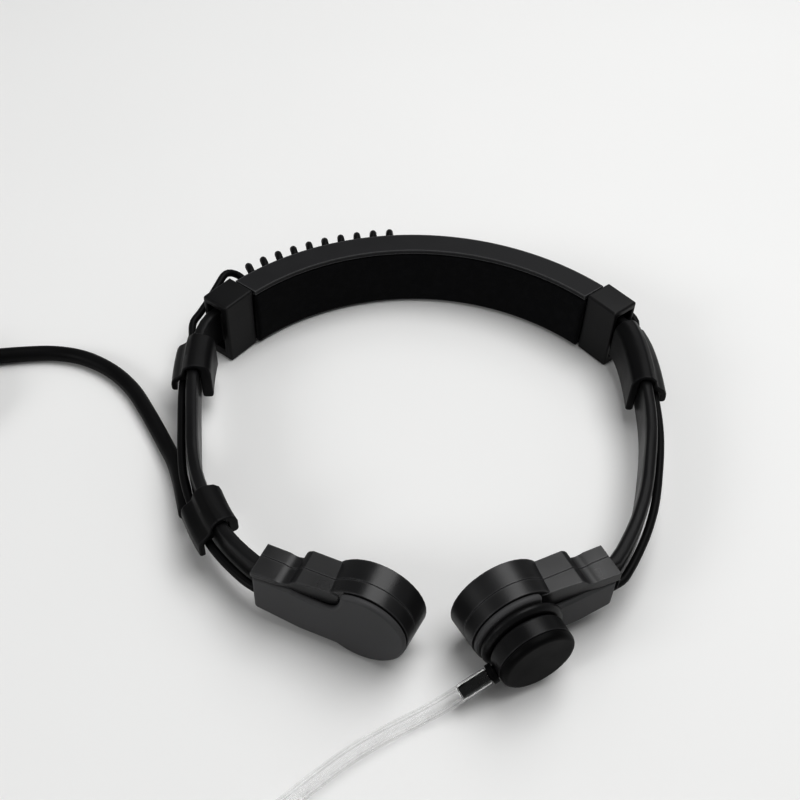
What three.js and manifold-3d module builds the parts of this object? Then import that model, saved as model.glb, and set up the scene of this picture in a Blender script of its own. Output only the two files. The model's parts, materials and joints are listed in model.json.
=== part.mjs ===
// Throat-microphone headset: an adjustable neckband with a microphone pod at each end, a speaker
// on the right pod that feeds a clear acoustic tube, and a cable to a jack plug.
// Millimetres, +Z up, worn side up, lying as on a table. The front, where the pods are, is -Y.

import * as THREE from "three";
import { mergeVertices } from "three/addons/utils/BufferGeometryUtils.js";
import Module from "manifold-3d";

const wasm = await Module();
wasm.setup();

// ---- driving dimensions ----

const GAP = 0.3; // between pieces that touch
const RADIANS = Math.PI / 180;

// The band is an arc about its own centre, and every plan position below is measured from there.
const BAND_CENTRE = [1.8, -4.08];
const BAND_OUTER_RADIUS = 75.6;
const BAND_WALL_RADIUS = 73.7;
const BAND_LIP_RADIUS = 67.7;
const BAND_BOTTOM = 0.5;
const BAND_TOP = 20.5;
const LINER_RADII = [69.6, 70.5];
const PAD_RADII = [67.0, 69.3];

const BLOCK_RADII = [68.1, 77.5];
const BLOCK_LENGTH = 11.2;
const BLOCK_HEIGHT = 21;
const BLOCK_WALL = 1.5;
const POCKET_HEIGHTS = [3, 18.6];
const TONGUE_RADII = [71.2, 72.2]; // the arm's flat tongue, which slides in the block
const TONGUE_HEIGHT = 10;
const TONGUE_REACH = 13; // past the block's middle

const ARM_THICKNESS = 3.4;
const ARM_HEIGHT = 12;
const ARM_MIDDLE = 11.3; // height of the arm's centreline

const POD_MIDDLE = 12.2; // height of the pod's axis, which is its largest radius
const POD_FRONT_RADIUS = 11.3;
const POD_BACK_RADIUS = 12.2;
const POD_DEPTH = 11;
const POD_SEAM = -5.5;
const COVER_THICKNESS = 1.8;
const SEAM_GAP = 0.08;
const ARM_IN_POD = -4.6; // the arm's centreline, behind the pod's front face

const LINK_CORD = 2.2;
const MAIN_CORD = 4.5;
const TUBE = 4.1;
const BESIDE_ARM = ARM_THICKNESS / 2 + GAP + 0.1 + LINK_CORD / 2;
const LINK_HEIGHT = 11.5;

// Each side: where its block stands on the band's arc, which way round the arm leaves it, where its
// pocket starts outward, its pod's front-face centre and the direction in plan from the pod's collar
// to its tip. Along the pod, measured from that centre: where the collar ends, and the leaf's outline
// (its end, its lower edge's heights, and its upper edge's heights in the scoop and past it).
const LEFT = {
  name: "left",
  sign: -1,
  block: 143.9,
  pocketFrom: 70.8,
  podCentre: [-14.0, -63.4],
  podTurn: -21.5,
  collarEnd: -28,
  leaf: { from: -27.9, low: -7.6, foot: -9.6, dip: 3.6, rise: 4.8, end: 4.7 },
  arm: [
    [-61.2, 40.8], [-63.1, 38.6], [-65.1, 33.1], [-65.6, 26], [-64.9, 14],
    [-63.0, 1.2], [-59.15, -18.2], [-54.6, -29.2], [-48.4, -39.4],
  ],
};
const RIGHT = {
  name: "right",
  sign: 1,
  block: 41.2,
  pocketFrom: 69.7,
  podCentre: [22.9, -61.4],
  podTurn: 207.5,
  collarEnd: -27,
  leaf: { from: -26.6, low: -5.6, foot: -7.8, dip: 2.3, rise: 3.1, end: 3.6 },
  arm: [
    [56.4, 45.3], [58.3, 43.5], [60.5, 37.7], [61.65, 29], [61.95, 16],
    [61.35, 3], [59.25, -10.1], [56.1, -23.2], [51.6, -34.4],
  ],
};

// Where the clips hold each arm: distances along the arm's centreline from its rear end, how far in
// from that line the leg's face is, and the heights where the leg and the lobe end.
const LEFT_UPPER_CLIP = { from: 14.5, to: 28, leg: 5.0, legEnd: 6.4, lobeEnd: 9.4 };
const LEFT_LOWER_CLIP = { from: 71.5, to: 83.5, leg: 4.6, legEnd: 12, lobeEnd: 8.2 };
const RIGHT_CLIP = { from: 5.2, to: 29.5, leg: 4.2, legEnd: 5.4, lobeEnd: 9.4 };

const COIL_AXIS_RADIUS = 81.1; // the curly stretch of the link cord, behind the band
const COIL_HEIGHT = 13.2;
const COIL_OUTER = 4.7;
const COIL_FROM = 133.5;
const COIL_TO = 96.5;

const SPEAKER_RADIUS = 9.5;
const SPEAKER_BACK = 2.9;
const SPEAKER_FRONT = 9.5;
const CAP_SEAM = 7.3;
const NOZZLE_DROP = 22; // degrees below level
const NOZZLE_OUT = 5.2; // in front of the pod's front face

// ---- materials ----

function plastic(color, roughness = 0.5) {
  return new THREE.MeshStandardMaterial({ color, roughness, metalness: 0 });
}

const satinBlack = plastic(0x2b2b2e, 0.45);
const matteBlack = plastic(0x202124, 0.7);
const darkGrey = plastic(0x3a3b3e, 0.55);
const foamBlack = plastic(0x121314, 0.95);
const cordBlack = plastic(0x1d1e20, 0.5);
const clearTube = new THREE.MeshStandardMaterial({
  color: 0xf2f5f4, roughness: 0.1, metalness: 0, transparent: true, opacity: 0.35,
});
const softClear = plastic(0xe6e4dc, 0.5);
const steel = new THREE.MeshStandardMaterial({ color: 0x9b9ea3, roughness: 0.35, metalness: 1 });
const nickel = new THREE.MeshStandardMaterial({ color: 0xc9c6bf, roughness: 0.25, metalness: 1 });

// ---- shapes ----

function closed(geometry) {
  const bare = geometry.clone();
  bare.deleteAttribute("normal");
  bare.deleteAttribute("uv");
  const merged = mergeVertices(bare, 1e-4);
  const at = merged.attributes.position;
  const corners = [];
  for (let i = 0; i < merged.index.count; i += 3) {
    const three = [0, 1, 2].map((k) => merged.index.getX(i + k));
    if (new Set(three).size === 3) {
      corners.push(...three);
    }
  }
  let volume = 0;
  const [a, b, c] = [new THREE.Vector3(), new THREE.Vector3(), new THREE.Vector3()];
  for (let i = 0; i < corners.length; i += 3) {
    a.fromBufferAttribute(at, corners[i]);
    b.fromBufferAttribute(at, corners[i + 1]);
    c.fromBufferAttribute(at, corners[i + 2]);
    volume += a.dot(b.cross(c));
  }
  if (volume < 0) {
    corners.reverse();
  }
  merged.setIndex(corners);
  return merged;
}

function solid(geometry) {
  const shape = closed(geometry);
  return new wasm.Manifold(
    new wasm.Mesh({
      numProp: 3,
      vertProperties: new Float32Array(shape.attributes.position.array),
      triVerts: new Uint32Array(shape.index.array),
    }),
  );
}

function surface(shape) {
  if (shape.isBufferGeometry) {
    return closed(shape);
  }
  const { vertProperties, triVerts } = shape.getMesh();
  const geometry = new THREE.BufferGeometry();
  geometry.setAttribute("position", new THREE.BufferAttribute(vertProperties, 3));
  geometry.setIndex(new THREE.BufferAttribute(triVerts, 1));
  return geometry;
}

function cut(shape, ...tools) {
  return tools.reduce((left, tool) => left.subtract(tool), shape);
}

function join(shape, ...others) {
  return others.reduce((whole, other) => whole.add(other), shape);
}

function add(parent, name, shape, material) {
  const geometry = surface(shape);
  geometry.computeVertexNormals();
  const mesh = new THREE.Mesh(geometry, material);
  mesh.name = name;
  parent.add(mesh);
}

// A plan outline raised from one height to another.
function raised(outline, low, high, curveSegments = 12) {
  const geometry = new THREE.ExtrudeGeometry(outline, {
    depth: high - low, bevelEnabled: false, curveSegments,
  });
  return solid(geometry.translate(0, 0, low));
}

// An outline in X and Z, made thick along Y. Outward is +Y on the right side and -Y on the left.
function thick(outline, sign, y0, y1, curveSegments = 12) {
  const geometry = new THREE.ExtrudeGeometry(outline, {
    depth: Math.abs(y1 - y0), bevelEnabled: false, curveSegments,
  });
  return solid(geometry.rotateX(Math.PI / 2).translate(0, Math.max(sign * y0, sign * y1), 0));
}

function box(x, y, z) {
  const geometry = new THREE.BoxGeometry(x[1] - x[0], y[1] - y[0], z[1] - z[0]);
  return solid(geometry.translate((x[0] + x[1]) / 2, (y[0] + y[1]) / 2, (z[0] + z[1]) / 2));
}

// A profile of [radius, outward distance] spun about the pod's Y axis.
function spun(profile, sign, sides = 36) {
  const points = profile.map(([r, y]) => new THREE.Vector2(r, sign * y));
  return new THREE.LatheGeometry(points, sides);
}

// A profile of [radius, height] spun about a vertical axis.
function upright(profile, sides = 36) {
  return spun(profile, 1, sides).rotateX(Math.PI / 2);
}

function disc(radius, sign, y0, y1, sides = 36) {
  return spun([[0, y0], [radius, y0], [radius, y1], [0, y1]], sign, sides);
}

function sector(inner, outer, fromDegrees, toDegrees) {
  const outline = new THREE.Shape();
  outline.absarc(0, 0, outer, fromDegrees * RADIANS, toDegrees * RADIANS, false);
  outline.absarc(0, 0, inner, toDegrees * RADIANS, fromDegrees * RADIANS, true);
  outline.closePath();
  return outline;
}

function polygon(points) {
  return new THREE.Shape(points.map(([x, y]) => new THREE.Vector2(x, y)));
}

function circle(radius, sides) {
  const turn = (2 * Math.PI) / sides;
  const at = (i) => [radius * Math.cos(i * turn), radius * Math.sin(i * turn)];
  return polygon(Array.from({ length: sides }, (_, i) => at(i)));
}

function roundedBox(halfX, halfY, radius, steps = 3) {
  const points = [];
  for (let corner = 0; corner < 4; corner += 1) {
    const right = corner === 0 || corner === 3 ? 1 : -1;
    const up = corner < 2 ? 1 : -1;
    for (let step = 0; step <= steps; step += 1) {
      const angle = (corner + step / steps) * 90 * RADIANS;
      points.push([
        right * (halfX - radius) + radius * Math.cos(angle),
        up * (halfY - radius) + radius * Math.sin(angle),
      ]);
    }
  }
  return polygon(points);
}

function curveThrough(points) {
  return new THREE.CatmullRomCurve3(points.map((p) => new THREE.Vector3(...p)), false, "centripetal");
}

// A section swept along a curve. On a level curve its X is down and its Y is to the left.
function swept(section, curve, steps) {
  return new THREE.ExtrudeGeometry(section, { steps, extrudePath: curve });
}

function cord(points, diameter, spacing = 2.6, sides = 8) {
  const curve = curveThrough(points);
  const steps = Math.max(2, Math.round(curve.getLength() / (spacing * diameter)));
  return swept(circle(diameter / 2, sides), curve, steps);
}

// ---- places ----

// Points along one side's block: s is forward from its middle, r is its line's distance from the
// band's centre.
function byBlock(side, s, r) {
  const angle = side.block * RADIANS;
  const forward = [side.sign * Math.sin(angle), -side.sign * Math.cos(angle)];
  return [r * Math.cos(angle) + s * forward[0], r * Math.sin(angle) + s * forward[1]];
}

// A box lined up with a block, given along the block, outward from the band's centre, and in height.
function blockBox(side, s, r, z) {
  const corners = [[s[0], r[0]], [s[1], r[0]], [s[1], r[1]], [s[0], r[1]]];
  return raised(polygon(corners.map(([along, out]) => byBlock(side, along, out))), z[0], z[1]);
}

function podPoint(side, along, out) {
  const turn = side.podTurn * RADIANS;
  const tip = [Math.cos(turn), Math.sin(turn)];
  const outward = [-side.sign * tip[1], side.sign * tip[0]];
  return [0, 1].map((k) => side.podCentre[k] + along * tip[k] + out * outward[k]);
}

function armCurve(side) {
  const inPod = [-28, -25, -22].map((along) => podPoint(side, along, ARM_IN_POD));
  return curveThrough([...side.arm, ...inPod].map(([x, y]) => [x, y, ARM_MIDDLE]));
}

function alongArm(curve, distance) {
  return curve.getPointAt(distance / curve.getLength());
}

// Points that run beside the arm's outer face, from one distance along it to another.
function besideArm(side, curve, from, to, offset, height, count) {
  const points = [];
  for (let i = 0; i < count; i += 1) {
    const distance = from + ((to - from) * i) / (count - 1);
    const at = alongArm(curve, distance);
    const tangent = curve.getTangentAt(distance / curve.getLength());
    const outward = [-side.sign * tangent.y, side.sign * tangent.x];
    points.push([at.x + offset * outward[0], at.y + offset * outward[1], height]);
  }
  return points;
}

// ---- rear band ----

const headset = new THREE.Group();
headset.position.set(...BAND_CENTRE, 0);

function bandArc(radii, low, high, curveSegments = 32) {
  const ring = raised(sector(radii[0], radii[1], RIGHT.block, LEFT.block), low, high, curveSegments);
  const clear = BLOCK_LENGTH / 2 + GAP;
  const ends = [LEFT, RIGHT].map((side) => blockBox(side, [-clear, clear], [60, 80], [-1, 22]));
  return cut(ring, ...ends);
}

function rearBandShell() {
  const wall = bandArc([BAND_WALL_RADIUS, BAND_OUTER_RADIUS], BAND_BOTTOM, BAND_TOP);
  const lipTop = bandArc([BAND_LIP_RADIUS, BAND_OUTER_RADIUS], BAND_TOP - 1.4, BAND_TOP);
  const lipBottom = bandArc([LINER_RADII[0], BAND_OUTER_RADIUS], BAND_BOTTOM, BAND_BOTTOM + 1.2);
  const tabs = [LEFT, RIGHT].map((side) => cut(
    blockBox(side, [-BLOCK_LENGTH / 2 - 1.2, 0.4], [73.9, 75.5], [6, 15]),
    screwHole(side, 1.1),
  ));
  const shoulders = [LEFT, RIGHT].map((side) => cut(
    blockBox(side, [-BLOCK_LENGTH / 2 - 3, -BLOCK_LENGTH / 2 - GAP], [73.7, 75.2], [5.5, 15.5]),
    raised(sector(60, 73.7, 30, 150), 0, 22, 48),
  ));
  return join(wall, lipTop, lipBottom, ...tabs, ...shoulders);
}

function screwAxis(side, r0, r1, radius, sides = 12) {
  const from = byBlock(side, -2, r0);
  const to = byBlock(side, -2, r1);
  const shaft = new THREE.CylinderGeometry(radius, radius, r1 - r0, sides).rotateZ(-Math.PI / 2);
  shaft.rotateZ(side.block * RADIANS);
  return solid(shaft.translate((from[0] + to[0]) / 2, (from[1] + to[1]) / 2, BLOCK_HEIGHT / 2));
}

function screwHole(side, radius) {
  return screwAxis(side, 72, 82, radius);
}

// An open box: its pocket faces the arm, and its rear wall has slots for the tongue and the tab.
function endBlock(side) {
  const half = BLOCK_LENGTH / 2;
  const body = blockBox(side, [-half, half], BLOCK_RADII, [0, BLOCK_HEIGHT]);
  const pocket = blockBox(
    side,
    [-half + BLOCK_WALL, half + 1],
    [side.pocketFrom, BLOCK_RADII[1] - BLOCK_WALL],
    POCKET_HEIGHTS,
  );
  const middle = ARM_MIDDLE;
  const slot = [middle - TONGUE_HEIGHT / 2 - GAP, middle + TONGUE_HEIGHT / 2 + GAP];
  const tongueSlot = blockBox(
    side, [-half - 1, 0], [TONGUE_RADII[0] - GAP, TONGUE_RADII[1] + GAP], slot,
  );
  const tabSlot = blockBox(side, [-half - 1, 0], [73.6, 76], [5.7, 15.3]);
  return cut(body, pocket, tongueSlot, tabSlot, screwHole(side, 1.1));
}

function blockScrew(side) {
  const head = screwAxis(side, BLOCK_RADII[1] + GAP, BLOCK_RADII[1] + 1.2, 1.7);
  return join(head, screwAxis(side, 73.2, BLOCK_RADII[1] + 0.6, 0.75));
}

function buildBand() {
  add(headset, "rear_band_shell", rearBandShell(), satinBlack);
  add(headset, "rear_band_liner", bandArc(LINER_RADII, 2.1, 18.7), matteBlack);
  add(headset, "neck_pad", bandArc(PAD_RADII, 0.8, 18.7), foamBlack);
  for (const side of [LEFT, RIGHT]) {
    add(headset, `${side.name}_end_block`, endBlock(side), satinBlack);
    add(headset, `${side.name}_block_screw`, blockScrew(side), steel);
  }
}

// ---- arms and clips ----

function arm(side, curve) {
  const bow = solid(swept(roundedBox(ARM_HEIGHT / 2, ARM_THICKNESS / 2, 1.4, 2), curve, 28));
  const half = TONGUE_HEIGHT / 2;
  const tongue = blockBox(
    side, [-TONGUE_REACH, 4.6], TONGUE_RADII, [ARM_MIDDLE - half, ARM_MIDDLE + half],
  );
  return join(bow, tongue);
}

// The clip's section: an arch over the arm with a leg down its inner face, and outside it a lobe
// that hangs down over the cord. Given outward from the arm's centreline and up from the table.
function clipSection(side, { leg, legEnd, lobeEnd }) {
  const inner = ARM_THICKNESS / 2 + GAP;
  const top = ARM_MIDDLE + ARM_HEIGHT / 2 + GAP;
  const lobe = BESIDE_ARM + LINK_CORD / 2 + 0.5;
  const lobeTop = LINK_HEIGHT + LINK_CORD / 2 + 0.5;
  const lobeWall = 1.6;
  const round = lobe + lobeWall - BESIDE_ARM;
  const shoulder = [70, 45, 20, 0].map((degrees) => [
    BESIDE_ARM + round * Math.cos(degrees * RADIANS),
    LINK_HEIGHT + round * Math.sin(degrees * RADIANS),
  ]);
  const points = [
    [0.7 - leg, legEnd], [0.2 - leg, legEnd + 0.2], [-leg, legEnd + 0.8], [-leg, top - 2.2],
    [0.5 - leg, top - 0.6], [1.8 - leg, top + 0.7],
    [-0.8, top + 1.3], [0.8, top + 1.3], [inner - 0.6, top + 0.9], [inner + 0.6, top - 0.1],
    [inner + 1.1, top - 1.6], [inner + 1.4, top - 2.4], ...shoulder,
    [lobe + lobeWall, lobeEnd + 0.5], [lobe + lobeWall - 0.5, lobeEnd], [lobe, lobeEnd],
    [lobe, lobeTop - 1], [lobe - 0.8, lobeTop], [inner, lobeTop + 0.1], [inner, top - 0.9],
    [1.2, top], [-1.2, top], [-inner, top - 0.9], [-inner, legEnd + 0.5], [-inner - 0.5, legEnd],
  ];
  // The sweep's section has X down and Y to the left of travel, and the arms run forward.
  return polygon(points.map(([out, up]) => [ARM_MIDDLE - up, side.sign * out]));
}

function clip(side, curve, { from, to, ...ends }) {
  const steps = Math.ceil((to - from) / 3);
  const points = [];
  for (let i = 0; i <= steps; i += 1) {
    const at = alongArm(curve, from + ((to - from) * i) / steps);
    points.push([at.x, at.y, ARM_MIDDLE]);
  }
  return swept(clipSection(side, ends), curveThrough(points), steps);
}

const leftArm = armCurve(LEFT);
const rightArm = armCurve(RIGHT);

function buildArms() {
  add(headset, "left_arm", arm(LEFT, leftArm), satinBlack);
  add(headset, "right_arm", arm(RIGHT, rightArm), satinBlack);
  add(headset, "left_upper_clip", clip(LEFT, leftArm, LEFT_UPPER_CLIP), darkGrey);
  add(headset, "left_lower_clip", clip(LEFT, leftArm, LEFT_LOWER_CLIP), darkGrey);
  add(headset, "right_clip", clip(RIGHT, rightArm, RIGHT_CLIP), darkGrey);
}

// ---- microphone pods ----

// The neck's outline from its foot to its top, seen from the front, and the step to the collar.
const NECK_OUTLINE = [
  [-18.4, -6.8], [-17.3, -8.6], [-15.6, -10.2], [-6, -10.2], [-6, 8], [-16.6, 8], [-17.7, 7.3],
  [-18.4, 6.4],
];
const STEP_BELOW = [[-21.9, -6.5], [-20.2, -6.3]];
const STEP_ABOVE = [[-19.6, 6.0], [-20.9, 6.1], [-21.9, 6.5]];
// The stem's front above the leaf, in plan: flush with the leaf at the arm's end, then scooped back.
const BROW = [[-22, -0.3], [-17.9, -0.9], [-11, -1.5], [-6, -1.7]];
const MIC_RADIUS = 4.9;

function frustum(sign, y0, y1, inset = 0) {
  const radiusAt = (y) => (
    POD_FRONT_RADIUS + ((POD_BACK_RADIUS - POD_FRONT_RADIUS) * -y) / POD_DEPTH - inset
  );
  return solid(spun([[0, y0], [radiusAt(y0), y0], [radiusAt(y1), y1], [0, y1]], sign, 40));
}

// The pod's collar and neck together.
function stem({ sign, collarEnd }, y0, y1) {
  const outline = [
    [collarEnd, -6.5], ...STEP_BELOW, ...NECK_OUTLINE, ...STEP_ABOVE, [collarEnd, 6.5],
  ];
  return thick(polygon(outline), sign, y0, y1);
}

// The arm's end, with room round it, as a tool that cuts its seat in both halves of the pod.
function armSeat(sign) {
  const half = ARM_HEIGHT / 2 + GAP;
  const low = ARM_MIDDLE - POD_MIDDLE - half;
  const outline = polygon([[-30, low], [-21.6, low], [-21.6, low + 2 * half], [-30, low + 2 * half]]);
  const side = ARM_THICKNESS / 2 + GAP;
  return thick(outline, sign, ARM_IN_POD - side, ARM_IN_POD + side);
}

function screwPlaces() {
  return [-5, 5].map((z) => [-13, z]);
}

function podHole(sign, x, z, radius, y0, y1, sides = 12) {
  return solid(disc(radius, sign, y0, y1, sides).translate(x, 0, z));
}

function innerShell(side) {
  const { sign } = side;
  const [back, front] = [-POD_DEPTH, POD_SEAM - SEAM_GAP / 2];
  const body = join(
    frustum(sign, back, front),
    stem(side, back + 2, front),
    thick(polygon(NECK_OUTLINE), sign, back + 0.3, front),
  );
  const hollow = podHole(sign, 0, 0, MIC_RADIUS + 1.3, back + 1.4, front + 1, 20);
  const window = podHole(sign, 0, 0, MIC_RADIUS - 0.9, back - 1, front, 20);
  const screws = screwPlaces().flatMap(([x, z]) => [
    podHole(sign, x, z, 1.15, back - 1, front + 1),
    podHole(sign, x, z, 2.0, back - 1, back + 1.4),
  ]);
  return cut(body, hollow, window, armSeat(sign), ...screws);
}

// The part of the stem that stands in front of the shells' flat face, above the leaf.
function brow(side, front) {
  const plan = [[side.collarEnd, front - 0.1], [side.collarEnd, 0], ...BROW, [-6, front - 0.1]];
  const slab = raised(polygon(plan.map(([x, y]) => [x, side.sign * y])), 0, 10);
  const room = thick(coverOutline(side, GAP), side.sign, front - 1, 1, 16);
  return cut(stem(side, front - 0.1, 0).intersect(slab), room);
}

function outerShell(side) {
  const { sign } = side;
  const [back, front] = [POD_SEAM + SEAM_GAP / 2, -COVER_THICKNESS - SEAM_GAP];
  const body = join(frustum(sign, back, front), stem(side, back, front), brow(side, front));
  const hollow = podHole(sign, 0, 0, 7.6, back - 1, front - 1, 20);
  const screws = screwPlaces().map(([x, z]) => podHole(sign, x, z, 1.1, back - 1, front - 1));
  return cut(body, hollow, armSeat(sign), ...screws);
}

// The cover: a round face with a long leaf that reaches back over the collar. The face is cut
// away above the leaf, so that a cord can be tucked in behind it.
function coverOutline({ leaf }, grow) {
  const outline = new THREE.Shape();
  const radius = POD_FRONT_RADIUS + grow;
  const fromAngle = Math.PI + Math.asin(leaf.foot / -radius);
  const toAngle = 2 * Math.PI + Math.acos(-5 / radius);
  outline.moveTo(leaf.from - grow, leaf.low - grow);
  outline.lineTo(-16, leaf.foot);
  outline.absarc(0, 0, radius, fromAngle, toAngle, false);
  outline.quadraticCurveTo(-5.4, leaf.dip + grow, -9, leaf.dip + grow);
  outline.quadraticCurveTo(-14, leaf.dip + grow, -18, leaf.rise + grow);
  outline.lineTo(leaf.from - grow, leaf.end + grow);
  outline.closePath();
  return outline;
}

function podCover(side, bore) {
  const { sign } = side;
  const plate = thick(coverOutline(side, 0), sign, -COVER_THICKNESS, 0, 16);
  if (bore === 0) {
    return plate;
  }
  return cut(plate, podHole(sign, 0, 0, bore, -COVER_THICKNESS - 1, 1));
}

function podScrew(side, x, z) {
  const { sign } = side;
  const back = -POD_DEPTH;
  const profile = [
    [0, back + 0.2], [1.6, back + 0.2], [1.6, back + 1.1], [0.8, back + 1.1], [0.8, -3.4], [0, -3.4],
  ];
  return spun(profile, sign, 10).translate(x, 0, z);
}

function contactRing(side) {
  const back = -POD_DEPTH;
  const profile = [
    [6.4, back - GAP], [9.2, back - GAP], [9.0, back - 1.3], [8.2, back - 1.7], [6.4, back - 1.7],
    [6.4, back - GAP],
  ];
  return spun(profile, side.sign, 28);
}

function contactDisc(side) {
  const back = -POD_DEPTH;
  const profile = [
    [0, back + 0.4], [MIC_RADIUS - 1.3, back + 0.4], [MIC_RADIUS - 1.3, back - GAP],
    [6.0, back - GAP], [6.0, back - 1.4], [4.5, back - 2.1], [0, back - 2.3],
  ];
  return spun(profile, side.sign, 24);
}

function micCapsule(side) {
  return disc(MIC_RADIUS, side.sign, -POD_DEPTH + 1.7, POD_SEAM - 0.7, 20);
}

function podGroup(side) {
  const pod = new THREE.Group();
  pod.position.set(side.podCentre[0], side.podCentre[1], POD_MIDDLE);
  pod.rotation.z = side.podTurn * RADIANS;
  headset.add(pod);
  return pod;
}

function buildPod(side, coverBore) {
  const pod = podGroup(side);
  add(pod, `${side.name}_pod_inner_shell`, innerShell(side), satinBlack);
  add(pod, `${side.name}_pod_outer_shell`, outerShell(side), satinBlack);
  add(pod, `${side.name}_pod_cover`, podCover(side, coverBore), darkGrey);
  add(pod, `${side.name}_mic_capsule`, micCapsule(side), steel);
  add(pod, `${side.name}_contact_ring`, contactRing(side), matteBlack);
  add(pod, `${side.name}_contact_disc`, contactDisc(side), matteBlack);
  screwPlaces().forEach(([x, z], i) => {
    add(pod, `${side.name}_pod_screw_${i + 1}`, podScrew(side, x, z), steel);
  });
  return pod;
}

// ---- speaker, on the right pod ----

function speakerFlange() {
  const profile = [
    [7.7, GAP], [10.2, GAP], [10.7, 0.9], [10.7, 1.5], [10.1, 2.2], [9.4, 2.5], [7.7, 2.5], [7.7, GAP],
  ];
  return spun(profile, 1, 36);
}

function nozzleAt(from, to, radius, sides = 12) {
  const shaft = new THREE.CylinderGeometry(radius, radius, to - from, sides);
  shaft.translate(0, (from + to) / 2, 0);
  return solid(shaft.rotateZ(-Math.PI / 2 - NOZZLE_DROP * RADIANS).rotateX(Math.PI / 2)
    .translate(0, NOZZLE_OUT, 0));
}

function speakerCan() {
  const back = SPEAKER_BACK;
  const profile = [
    [2.2, 0.9], [7.3, 0.9], [7.3, back], [SPEAKER_RADIUS - 0.4, back], [SPEAKER_RADIUS, back + 0.5],
    [SPEAKER_RADIUS, CAP_SEAM], [8.3, CAP_SEAM], [8.3, back + 1.2], [6.3, back + 1.2], [6.3, 2.1],
    [2.2, 2.1], [2.2, 0.9],
  ];
  return cut(solid(spun(profile, 1, 36)), nozzleAt(7.5, 12, 1.9));
}

function speakerPivot() {
  const profile = [
    [0, 0.1 - COVER_THICKNESS], [1.7, 0.1 - COVER_THICKNESS], [1.7, 2.4], [3.6, 2.4], [3.6, 3.3],
    [0, 3.3],
  ];
  return spun(profile, 1, 24);
}

function speakerDriver() {
  return disc(7.7, 1, SPEAKER_BACK + 1.6, SPEAKER_FRONT - 1.6, 24);
}

function speakerCap() {
  const [radius, front, seam] = [SPEAKER_RADIUS, SPEAKER_FRONT, CAP_SEAM + 0.1];
  return spun([
    [0, front], [radius - 1.3, front], [radius - 0.6, front - 0.2], [radius - 0.2, front - 0.6],
    [radius, front - 1.3], [radius, seam], [8.4, seam], [8.4, front - 1.3], [0, front - 1.3],
  ], 1, 36);
}

function tubeNozzle() {
  const body = join(
    nozzleAt(8.8, 10.2, 1.6),
    nozzleAt(SPEAKER_RADIUS + GAP, 11.2, 2.4),
    nozzleAt(9, 18.8, 1.5),
    ...[11.8, 14.1, 16.4].map((start) => nozzleAt(start, start + 1.6, 1.6)),
  );
  return cut(body, nozzleAt(8, 20, 0.6, 8));
}

function tubeSleeve() {
  return cut(nozzleAt(11.5, 19, TUBE / 2 + 0.05), nozzleAt(11, 20, 1.66));
}

function buildSpeaker(pod) {
  add(pod, "speaker_flange", speakerFlange(), satinBlack);
  add(pod, "speaker_can", speakerCan(), satinBlack);
  add(pod, "speaker_pivot", speakerPivot(), steel);
  add(pod, "speaker_driver", speakerDriver(), steel);
  add(pod, "speaker_cap", speakerCap(), matteBlack);
  add(pod, "tube_nozzle", tubeNozzle(), matteBlack);
  add(pod, "tube_sleeve", tubeSleeve(), clearTube);
}

// ---- link cord, held along the band and the arms ----

function onBand(radius, degrees, height) {
  return [radius * Math.cos(degrees * RADIANS), radius * Math.sin(degrees * RADIANS), height];
}

function bandRun(radius, from, to, height, count) {
  return Array.from({ length: count }, (_, i) => (
    onBand(radius, from + ((to - from) * i) / (count - 1), height)
  ));
}

const LINK_LEFT = [
  ...besideArm(LEFT, leftArm, 74, 10.5, BESIDE_ARM, LINK_HEIGHT, 20),
  [...byBlock(LEFT, 9.2, 79.1), 12.1],
  [...byBlock(LEFT, 6.3, 79.6), 12.9],
];
const LINK_LOOP = [
  [...byBlock(LEFT, 5.6, 79.7), 13.1],
  [...byBlock(LEFT, 1.5, 80.4), 14.4],
  [...byBlock(LEFT, -4, 81.6), 16.4],
  onBand(83.4, 137.6, 17.2),
  onBand(82.9, 135.8, 16.0),
  onBand(81.7, 134.4, 14.4),
];
const LINK_REAR = [
  onBand(80.2, 95.9, 14.2),
  onBand(78.4, 92.5, 14.4),
  ...bandRun(77.4, 88, 56, 14.5, 7),
  onBand(77.9, 51.5, 15),
  [...byBlock(RIGHT, -7, 78.9), 15.2],
  [...byBlock(RIGHT, -3, 79.3), 15.2],
  [...byBlock(RIGHT, 2, 79.3), 13.6],
  [...byBlock(RIGHT, 5.0, 79.3), 12.6],
];
const LINK_RIGHT = [
  [...byBlock(RIGHT, 5.9, 79.4), 12.2],
  ...besideArm(RIGHT, rightArm, 4.6, 94.4, BESIDE_ARM, LINK_HEIGHT, 30),
];

function buildLinkCord() {
  add(headset, "link_cord_left", cord(LINK_LEFT, LINK_CORD, 1.8), cordBlack);
  add(headset, "link_cord_loop", cord(LINK_LOOP, LINK_CORD, 1), cordBlack);
  const axis = curveThrough(bandRun(COIL_AXIS_RADIUS, COIL_FROM, COIL_TO, COIL_HEIGHT, 8));
  add(headset, "link_cord_coil", swept(circle(COIL_OUTER, 12), axis, 10), cordBlack);
  add(headset, "link_cord_rear", cord(LINK_REAR, LINK_CORD, 1.4), cordBlack);
  add(headset, "link_cord_right", cord(LINK_RIGHT, LINK_CORD, 1.4), cordBlack);
  const lead = besideArm(LEFT, leftArm, 76, 96.9, BESIDE_ARM, 10.6, 7);
  add(headset, "left_mic_lead", cord(lead, LINK_CORD, 1.6), cordBlack);
}

// ---- main cable: from the lower clip, down to the table, coiled, with its plug ----

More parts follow.
